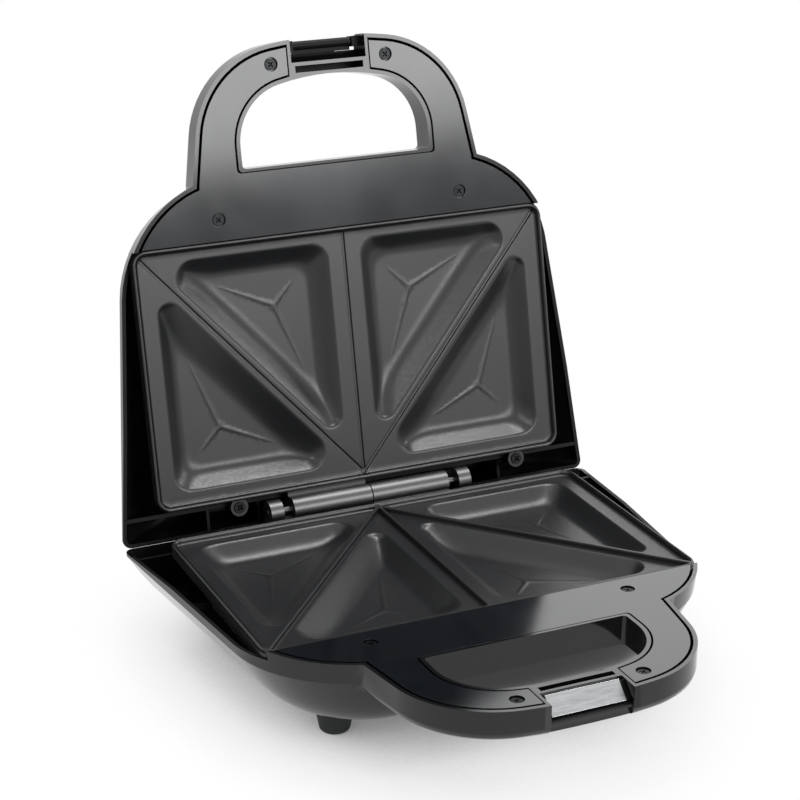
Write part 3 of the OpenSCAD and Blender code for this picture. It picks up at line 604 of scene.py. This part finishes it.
def pocket_corners():
    """Corners of the right half's two pockets: the right angle first."""
    off = (DIVIDER_W / 2 + LAND) / DIV_DIR.x
    slope = DIV_DIR.y / DIV_DIR.x

    def div_y(x):
        return DIV_START.y + slope * x

    def div_x(y):
        return (y - DIV_START.y) / slope

    mid, front = POCKET_MIDDLE, PLATE_FRONT - POCKET_FRONT
    side, rear = PLATE_X - POCKET_SIDE, PLATE_BACK + POCKET_REAR
    return (
        [Vector((mid, front)), Vector((div_x(front - off), front)), Vector((mid, div_y(mid) + off))],
        [Vector((side, rear)), Vector((div_x(rear + off), rear)), Vector((side, div_y(side) - off))],
    )


def arc(centre, radius, start, end, steps):
    points = []
    for i in range(steps + 1):
        angle = start + (end - start) * i / steps
        points.append(centre + radius * Vector((math.cos(angle), math.sin(angle))))
    return points


def off_line(away, axis):
    """Distance of a point from a line, given its way from a point of the line."""
    return abs(away.x * axis.y - away.y * axis.x)


def smooth_min(a, b, k):
    """The lesser of two values, blended where they differ by less than k."""
    h = max(k - abs(a - b), 0.0) / k
    return min(a, b) - h * h * k / 4


def smooth_max(a, b, k):
    return -smooth_min(-a, -b, k)


class Pocket:
    """A triangular well with rounded corners, sloping walls and a ribbed floor."""

    RADII = (8.0, 9.3, 6.2)            # of the outline's corners
    RUNS = (7.4, 7.2, 10.5)            # of the walls: beside corner pairs 0-1, 2-0 and 1-2
    DEPTH = 8.0                        # of the floor's sides under the field
    SINK = 0.45                        # of the floor's middle under its sides
    CORNER_BLEND = 11.0                # softens the corners further down
    FLOOR_BLEND = 3.4                  # rounds the walls into the floor
    RIM_BLEND = 0.9                    # rounds the rim
    RIM_OUT = 1.6                      # how far outside the outline the rim's rounding ends
    SLOPE_BLEND = 0.8                  # the lesser this and the greater the power, the more
    SLOPE_POWER = 4                    # the nearest wall's slope counts
    LEAST_R = 0.25                     # radius under which a contour's corner is a point
    RIB_REACH = (0.39, 0.44, 0.45)     # of the ribs, as a part of the way to each corner
    RIB_HALF = (0.2, 0.85)             # half width at a rib's tip, and what the root adds
    RIB_HEIGHT = (0.1, 0.5)            # height at a rib's tip, and what the root adds
    RIB_ROOT = 1.0                     # that a rib goes on behind the floor's middle

    def __init__(self, corners):
        self.corners = corners
        a, b, c = corners
        la, lb, lc = (b - c).length, (c - a).length, (a - b).length
        self.centre = (la * a + lb * b + lc * c) / (la + lb + lc)
        self.sides = []
        for (p, q), run in zip(((a, b), (c, a), (b, c)), self.RUNS):
            d = (q - p).normalized()
            n = Vector((-d.y, d.x))
            if (self.centre - p).dot(n) < 0:
                n = -n
            self.sides.append((p, n, run))
        self.inradius = (self.centre - a).dot(self.sides[0][1])
        self.arcs = []
        for i, radius in enumerate(self.RADII):
            p, u, v = corners[i], corners[i - 1] - corners[i], corners[(i + 1) % 3] - corners[i]
            u.normalize()
            v.normalize()
            half = u.angle(v) / 2
            axis = (u + v).normalized()
            self.arcs.append((p + axis * radius / math.sin(half), radius, axis, u, v, half))

    def distances(self, p):
        return [(p - q).dot(n) for q, n, _ in self.sides]

    def inside(self, p):
        """Signed distance inside the rounded outline."""
        near = self.distances(p)
        t = min(near)
        if t > 0:
            two = smooth_min(near[0], near[1], self.CORNER_BLEND)
            t = smooth_min(two, near[2], self.CORNER_BLEND)
        for centre, radius, axis, u, v, _ in self.arcs:
            w = p - centre
            if w.dot(axis) < 0 and w.dot(u) < 0 and w.dot(v) < 0:
                return min(t, radius - w.length)
        return t

    def depth(self, p):
        """Depth of the well under the field."""
        t = self.inside(p)
        if t < -self.RIM_OUT:
            return 0.0
        near = self.distances(p)
        weights = [1.0 / (max(d, 0.0) + self.SLOPE_BLEND) ** self.SLOPE_POWER for d in near]
        slopes = [w * self.DEPTH / run for w, (_, _, run) in zip(weights, self.sides)]
        wall = sum(slopes) / sum(weights) * t
        middle = max(min(near), 0.0) / self.inradius
        floor = self.DEPTH + self.SINK * middle - self.rib(p)
        return smooth_max(smooth_min(wall, floor, self.FLOOR_BLEND), 0.0, self.RIM_BLEND)

    def ribs(self):
        """Direction and length of each of the three ribs that meet at the floor's middle."""
        for corner, reach in zip(self.corners, self.RIB_REACH):
            axis = corner - self.centre
            yield axis.normalized(), reach * axis.length

    def rib(self, p):
        """Height of the ribs on the floor."""
        highest = 0.0
        w = p - self.centre
        for axis, reach in self.ribs():
            along = w.dot(axis)
            if along < -self.RIB_ROOT or along > reach:
                continue
            left = 1 - max(along, 0.0) / reach
            off = off_line(w, axis) if along > 0 else w.length
            tip, growth = self.RIB_HEIGHT
            height = (tip + growth * left) * max(0.0, 1 - off / self.rib_half(left))
            highest = max(highest, height)
        return highest

    def rib_half(self, left):
        """Half width of a rib with a part of its length left to its tip."""
        tip, growth = self.RIB_HALF
        return tip + growth * left

    def contour(self, inset):
        """The outline moved inwards, with its corners' arcs."""
        points = []
        for corner, (centre, radius, axis, u, v, half) in zip(self.corners, self.arcs):
            r = radius - inset
            if r < self.LEAST_R:
                points.append(corner + axis * inset / math.sin(half))
                continue
            nu, nv = self.side_normal(corner, u), self.side_normal(corner, v)
            start, end = centre - r * nu, centre - r * nv
            a0 = math.atan2(*(start - centre).yx)
            a1 = math.atan2(*(end - centre).yx)
            sweep = (a1 - a0 + math.pi) % (2 * math.pi) - math.pi
            points += arc(centre, r, a0, a0 + sweep, POCKET_STEPS)
        return points

    def side_normal(self, corner, along):
        """The inward normal of a side that runs from a corner."""
        n = Vector((-along.y, along.x))
        return n if (self.centre - corner).dot(n) > 0 else -n


POCKETS = [Pocket(corners) for corners in pocket_corners()]


def plate_loop(inset):
    """The right half of the plate's outline moved inwards, from its rear to its front."""
    r = max(PLATE_R - inset, PLATE_LEAST_R)
    x = PLATE_X - inset - r
    rear = Vector((x, PLATE_BACK + inset + r))
    front = Vector((x, PLATE_FRONT - inset - r))
    quarter = math.pi / 2
    return [
        Vector((0, PLATE_BACK + inset)),
        *arc(rear, r, -quarter, 0, PLATE_STEPS),
        *arc(front, r, 0, quarter, PLATE_STEPS),
        Vector((0, PLATE_FRONT - inset)),
    ]


def plate_inset(p):
    """Distance inside the plate's outline."""
    dx = PLATE_X - abs(p.x)
    dy = min(p.y - PLATE_BACK, PLATE_FRONT - p.y)
    if dx < PLATE_R and dy < PLATE_R:
        return PLATE_R - math.hypot(PLATE_R - dx, PLATE_R - dy)
    return min(dx, dy)


def across(profile, off):
    """Height or depth of a cross-section at a distance."""
    for (u0, h0), (u1, h1) in zip(profile, profile[1:]):
        if off <= u1:
            return h0 + (h1 - h0) * max(0.0, off - u0) / (u1 - u0)
    return profile[-1][1]


def plate_depth(p, is_lid):
    """Depth of a cooking face under the mating face."""
    inset = plate_inset(p)
    depth = CREST + across(BORDER, inset)
    if inset < BORDER_ONLY:
        return depth
    for pocket in POCKETS:
        depth += pocket.depth(p)
    beside = min(abs(off_divider(p)), abs(p.x))
    along = (p - DIV_START).dot(DIV_DIR)
    if along > -BLADE_LEAD or abs(p.x) < MIDDLE_HALF:
        if is_lid:
            depth += across(SLOT, beside) * min(1.0, max(0.0, inset - SLOT_START) / SLOT_FADE)
        elif beside < BLADE[-1][0]:
            depth = min(depth, max(FIELD - across(BLADE, beside), CREST))
    return depth


def divider_lines(profile):
    """Lines along the dividers, at the distances of their cross-section."""
    lines = []
    for off, _ in profile:
        for side in ((1,) if off == 0 else (1, -1)):
            start = DIV_START + side * off * DIV_NORMAL - BLADE_LEAD * DIV_DIR
            lines.append([start, start + DIV_DIR * (DIV_RUN.length + DIVIDER_RUN_ON)])
        ends = PLATE_BACK + DIVIDER_END, PLATE_FRONT - DIVIDER_END
        lines.append([Vector((off, y)) for y in ends])
    return lines


def rib_lines(pocket):
    """Ridge and foot lines of a pocket's ribs."""
    lines = []
    for axis, reach in pocket.ribs():
        across_rib = Vector((-axis.y, axis.x))
        count = int(reach / RIB_STEP)
        for side in (0, 1, -1):
            line = []
            for k in range(abs(side), count + 1):
                ridge = pocket.centre + axis * reach * k / count
                line.append(ridge + across_rib * side * pocket.rib_half(1 - k / count))
            lines.append(line)
    return lines


def floor_points(pocket):
    """An even spread of points over a pocket's walls and floor, clear of the ribs."""
    xs, ys = [c.x for c in pocket.corners], [c.y for c in pocket.corners]
    points = []
    for row in range(int((max(ys) - min(ys)) / GRID_ROW) + 1):
        y = min(ys) + row * GRID_ROW
        x = min(xs) + (row % 2) * GRID / 2
        while x < max(xs):
            p = Vector((x, y))
            if pocket.inside(p) > GRID_INSET and clear_of_ribs(pocket, p):
                points.append(p)
            x += GRID
    return points


def clear_of_ribs(pocket, p):
    w = p - pocket.centre
    for axis, reach in pocket.ribs():
        along = w.dot(axis)
        clear = pocket.rib_half(1 - max(along, 0) / reach) + RIB_CLEAR
        if -RIB_CLEAR_ROOT < along < reach + RIB_CLEAR_TIP and off_line(w, axis) < clear:
            return False
    return True


def plate_sheet(is_lid):
    """Vertices and triangles of the right half of a plate's cooking face."""
    lines = [plate_loop(inset) for inset, _ in BORDER[1:]]
    lines += [plate_loop(inset) for inset in FIELD_LOOPS]
    lines += divider_lines(SLOT if is_lid else BLADE)
    for pocket in POCKETS:
        for inset in CONTOURS:
            ring = pocket.contour(inset)
            lines.append(ring + ring[:1])
        lines += rib_lines(pocket)
    points = [p for pocket in POCKETS for p in floor_points(pocket)]
    edges = []
    outline = add_line(plate_loop(0.0), points, edges)
    edges.append((len(points) - 1, outline))
    for line in lines:
        add_line(line, points, edges)
    points = [Vector((min(max(p.x, 0.0), PLATE_X), p.y)) for p in points]
    verts, _, faces, *_ = delaunay_2d_cdt(points, edges, [], 0, SAME_POINT)
    return verts, faces


def add_line(line, points, edges):
    """Adds a line's points and edges in short steps, and says which point is its first."""
    first = len(points)
    points.append(line[0])
    for start, end in zip(line, line[1:]):
        count = max(1, int((end - start).length / LINE_STEP))
        points += [start.lerp(end, k / count) for k in range(1, count)] + [end]
    edges += [(k, k + 1) for k in range(first, len(points) - 1)]
    return first


def plate_face(is_lid, place):
    """The cooking face and its outer wall, as a sheet without thickness."""
    verts, faces = plate_sheet(is_lid)
    bm = bmesh.new()
    for mirror in (1, -1):
        made = [bm.verts.new(place(mirror * v.x, v.y, plate_depth(v, is_lid))) for v in verts]
        for f in faces:
            loop = [made[i] for i in f]
            bm.faces.new(loop if mirror < 0 else loop[::-1])
    bmesh.ops.remove_doubles(bm, verts=bm.verts, dist=SAME_VERTEX * MM)
    bmesh.ops.recalc_face_normals(bm, faces=bm.faces)
    up = place(0, 0, -1) - place(0, 0, 0)
    if sum(f.calc_area() * f.normal.dot(up) for f in bm.faces) < 0:
        bmesh.ops.reverse_faces(bm, faces=bm.faces)
    rim = [e for e in bm.edges if e.is_boundary]
    ring = bmesh.ops.extrude_edge_only(bm, edges=rim)["geom"]
    lower = [g for g in ring if isinstance(g, bmesh.types.BMVert)]
    edge_depth = CREST + BORDER[0][1]
    down = (place(0, 0, 1) - place(0, 0, 0)) * (SKIRT - edge_depth)
    bmesh.ops.translate(bm, verts=lower, vec=down)
    bmesh.ops.recalc_face_normals(bm, faces=bm.faces)
    return bm


def make_plate(node, is_lid):
    """A cooking plate as a casting of even thickness, with the CAD node's screw ears."""
    place = lid_point if is_lid else base_point
    piece = new_object(node + "_cast", plate_face(is_lid, place), node)
    solid = piece.modifiers.new("thickness", "SOLIDIFY")
    solid.thickness = PLATE_THICK * MM
    solid.offset = -1
    apply_modifiers(piece)
    add_ears(piece, node, place)
    smooth_by_angle(piece, PLATE_SMOOTH_ANGLE)


def add_ears(piece, node, place):
    """The screw ears at both ends of the plate, cut from the CAD node."""
    bm = bmesh.new()
    bm.from_mesh(piece.data)
    along = (place(0, 1, 0) - place(0, 0, 0)).normalized()
    for y, side in ((PLATE_BACK + EAR_OVERLAP, -1), (PLATE_FRONT - EAR_OVERLAP, 1)):
        part = welded(node)
        geom = part.verts[:] + part.edges[:] + part.faces[:]
        bmesh.ops.bisect_plane(
            part, geom=geom, plane_co=place(0, y, 0), plane_no=side * along, clear_inner=True
        )
        bmesh.ops.holes_fill(part, edges=[e for e in part.edges if e.is_boundary])
        bmesh.ops.delete(part, geom=[v for v in part.verts if not v.link_faces], context="VERTS")
        mesh = bpy.data.meshes.new("ears")
        part.to_mesh(mesh)
        part.free()
        bm.from_mesh(mesh)
        bpy.data.meshes.remove(mesh)
    bm.to_mesh(piece.data)
    bm.free()


# ---------------------------------------------------------------- assembly


add_camera()
add_world()
add_floor()
MATERIALS = make_materials()

for name, lamp in LAMPS.items():
    add_lamp(name, *lamp)

make_plate("base_plate", False)
make_plate("lid_plate", True)
for node in ("base_shell", "lid_shell"):
    rounded_piece(node, width=0)
for node in ("base_trim", "lid_trim"):
    rounded_piece(node, width=0.35)
for node in ("latch_striker", "latch_lever", "feet", "hinge_pins", "latch_pin"):
    rounded_piece(node, width=0.25)
for node in ("base_trim_screws", "lid_trim_screws", "base_plate_screws", "lid_plate_screws"):
    rounded_piece(node, width=0.15, segments=1)

for node, slot in SLOTS.items():
    mesh = frame["nodes"][node].data
    mesh.materials.clear()
    mesh.materials.append(MATERIALS[slot])

bpy.context.scene.view_settings.view_transform = "Standard"
